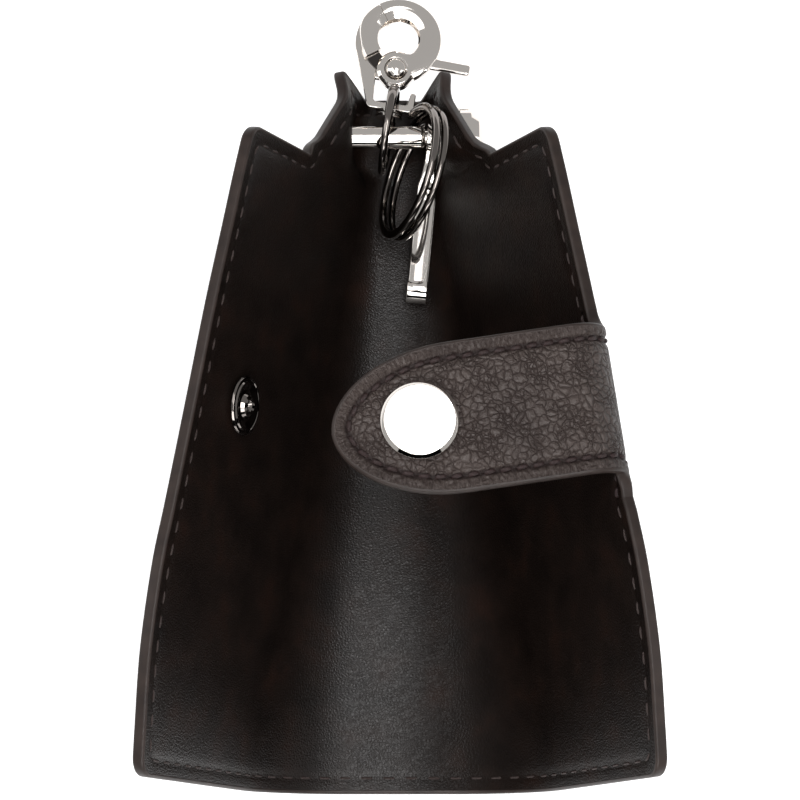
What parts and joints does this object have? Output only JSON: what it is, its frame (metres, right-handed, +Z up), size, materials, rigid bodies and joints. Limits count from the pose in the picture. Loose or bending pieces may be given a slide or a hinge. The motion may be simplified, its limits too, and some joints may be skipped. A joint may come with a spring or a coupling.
{
  "type": "key pouch",
  "caption": "Open bell-shaped leather key pouch with folding wings, a snap strap, and a neck post that carries a ring, a split ring, a key hook and a spring clasp.",
  "frame": {"origin": "on the surface it lies on, under the middle of the spine", "axes": "+Y along the spine towards the clasp, +Z up out of the open mouth, +X to the side that carries the strap"},
  "size_m": [0.0842, 0.1405, 0.0612],
  "materials": {
    "outer_leather": "pebbled dark brown-grey",
    "lining_leather": "smooth near-black with a fine grain",
    "chrome": "polished nickel or chrome plate",
    "black_nickel": "polished black nickel",
    "spring_steel": "bright spring wire"
  },
  "bodies": {
    "back": {"shell_back": "outer_leather", "lining_back": "lining_leather", "post_barrel": "chrome", "post_screw": "chrome"},
    "left_wing": {"shell_left": "outer_leather", "lining_left": "lining_leather", "snap_stud": "black_nickel", "snap_eyelet": "black_nickel"},
    "right_wing": {"shell_right": "outer_leather", "lining_right": "lining_leather"},
    "strap": {"strap_outer": "outer_leather", "strap_lining": "lining_leather", "snap_cap": "chrome", "snap_socket": "black_nickel", "snap_spring": "spring_steel"},
    "connector": {"connector_ring": "black_nickel"},
    "clasp": {"clasp_body": "chrome", "clasp_rivet": "chrome", "clasp_spring": "spring_steel"},
    "clasp_gate": {"clasp_gate": "chrome"},
    "swivel": {"swivel_barrel": "chrome"},
    "split_ring": {"split_ring": "black_nickel"},
    "key_hook": {"key_hook": "chrome", "hook_rivet": "chrome"},
    "hook_gate": {"hook_gate": "chrome"}
  },
  "joints": [
    {"name": "left_wing_fold", "type": "hinge", "parent": "back", "child": "left_wing", "pos_m": [-0.0218, -0.00014, 0.02647], "axis": [0.1468, 0.9892, 0], "range_deg": [-45, 30]},
    {"name": "right_wing_fold", "type": "hinge", "parent": "back", "child": "right_wing", "pos_m": [0.0218, -0.00014, 0.02647], "axis": [0.1468, -0.9892, 0], "range_deg": [-45, 28]},
    {"name": "strap_fold", "type": "hinge", "parent": "right_wing", "child": "strap", "pos_m": [0.03392, -0.01037, 0.05001], "axis": [-0.1468, 0.9892, 0], "range_deg": [-10, 110]},
    {"name": "connector_swing", "type": "hinge", "parent": "back", "child": "connector", "pos_m": [-0.0021, 0.0452, 0.0105], "axis": [1, 0, 0], "range_deg": [0, 8]},
    {"name": "clasp_slide", "type": "hinge", "parent": "connector", "child": "clasp", "pos_m": [-0.0021, 0.0465, 0.0107], "axis": [0.9877, -0.1564, 0], "range_deg": [0, 4]},
    {"name": "clasp_gate_opening", "type": "hinge", "parent": "clasp", "child": "clasp_gate", "pos_m": [-0.0007, 0.0578, 0.0092], "axis": [0, 0, -1], "range_deg": [0, 5], "stiffness_Nm_per_rad": 0.002, "springref_deg": -11.46},
    {"name": "swivel_turn", "type": "hinge", "parent": "clasp", "child": "swivel", "pos_m": [-0.00164, 0.05187, 0.0092], "axis": [0.1564, 0.9877, 0], "continuous": true},
    {"name": "split_ring_swing", "type": "hinge", "parent": "back", "child": "split_ring", "pos_m": [0, 0.0452, 0.0105], "axis": [-1, 0, 0], "range_deg": [0, 3]},
    {"name": "key_hook_swing", "type": "hinge", "parent": "back", "child": "key_hook", "pos_m": [0.00555, 0.0452, 0.0105], "axis": [-1, 0, 0], "range_deg": [0, 20]},
    {"name": "hook_gate_flex", "type": "hinge", "parent": "key_hook", "child": "hook_gate", "pos_m": [0.00479, 0.03733, 0.00676], "axis": [0.9954, -0.0958, 0], "range_deg": [0, 6], "stiffness_Nm_per_rad": 0.001, "springref_deg": -8.59}
  ]
}
